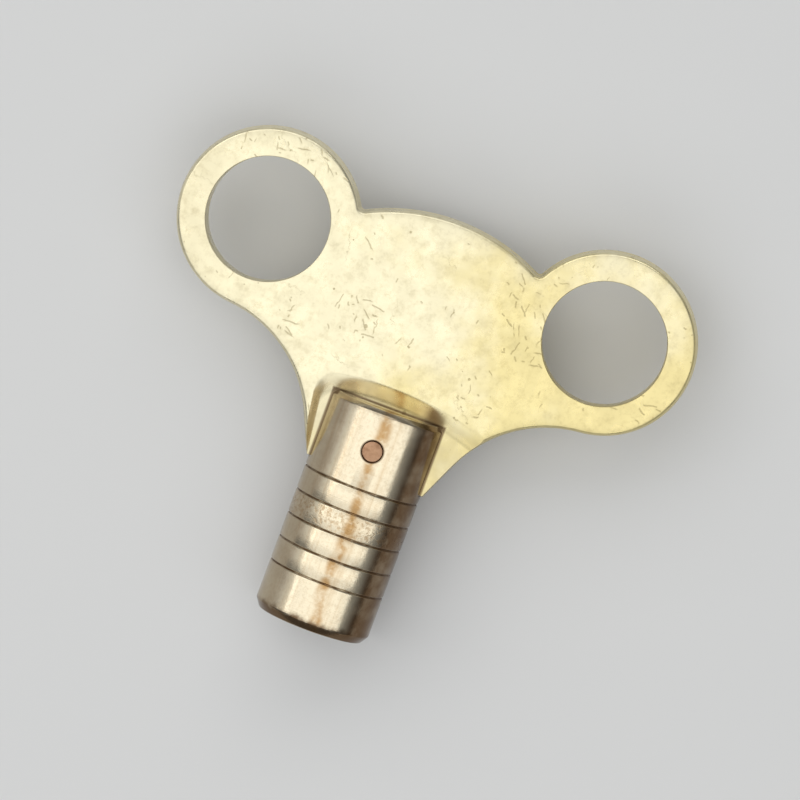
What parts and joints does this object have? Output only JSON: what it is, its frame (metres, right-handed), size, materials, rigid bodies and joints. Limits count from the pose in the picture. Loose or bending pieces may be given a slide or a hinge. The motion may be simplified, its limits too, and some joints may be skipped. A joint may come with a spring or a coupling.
{
  "type": "radiator bleed key",
  "caption": "Flat winged handle with a round eye in each wing, pinned in the slotted end of a short round grooved barrel that has a square socket in its other end.",
  "frame": {"origin": "middle of the socket's mouth, on the barrel's free end face", "axes": "+Y along the barrel from the socket's mouth towards the handle, +X along the wings, +Z out of the handle's face that shows the pin"},
  "size_m": [0.039, 0.0332, 0.0086],
  "materials": {
    "plated_bow": "bright pale brass plating over a fine cast surface, lightly scratched",
    "turned_brass": "bare turned brass, satin, with fine turning marks and a little brown tarnish",
    "copper_pin": "drawn copper-coloured wire, dull, with a dark seam round it"
  },
  "bodies": {
    "root": {"bow": "plated_bow", "barrel": "turned_brass", "cross_pin": "copper_pin"}
  },
  "joints": []
}
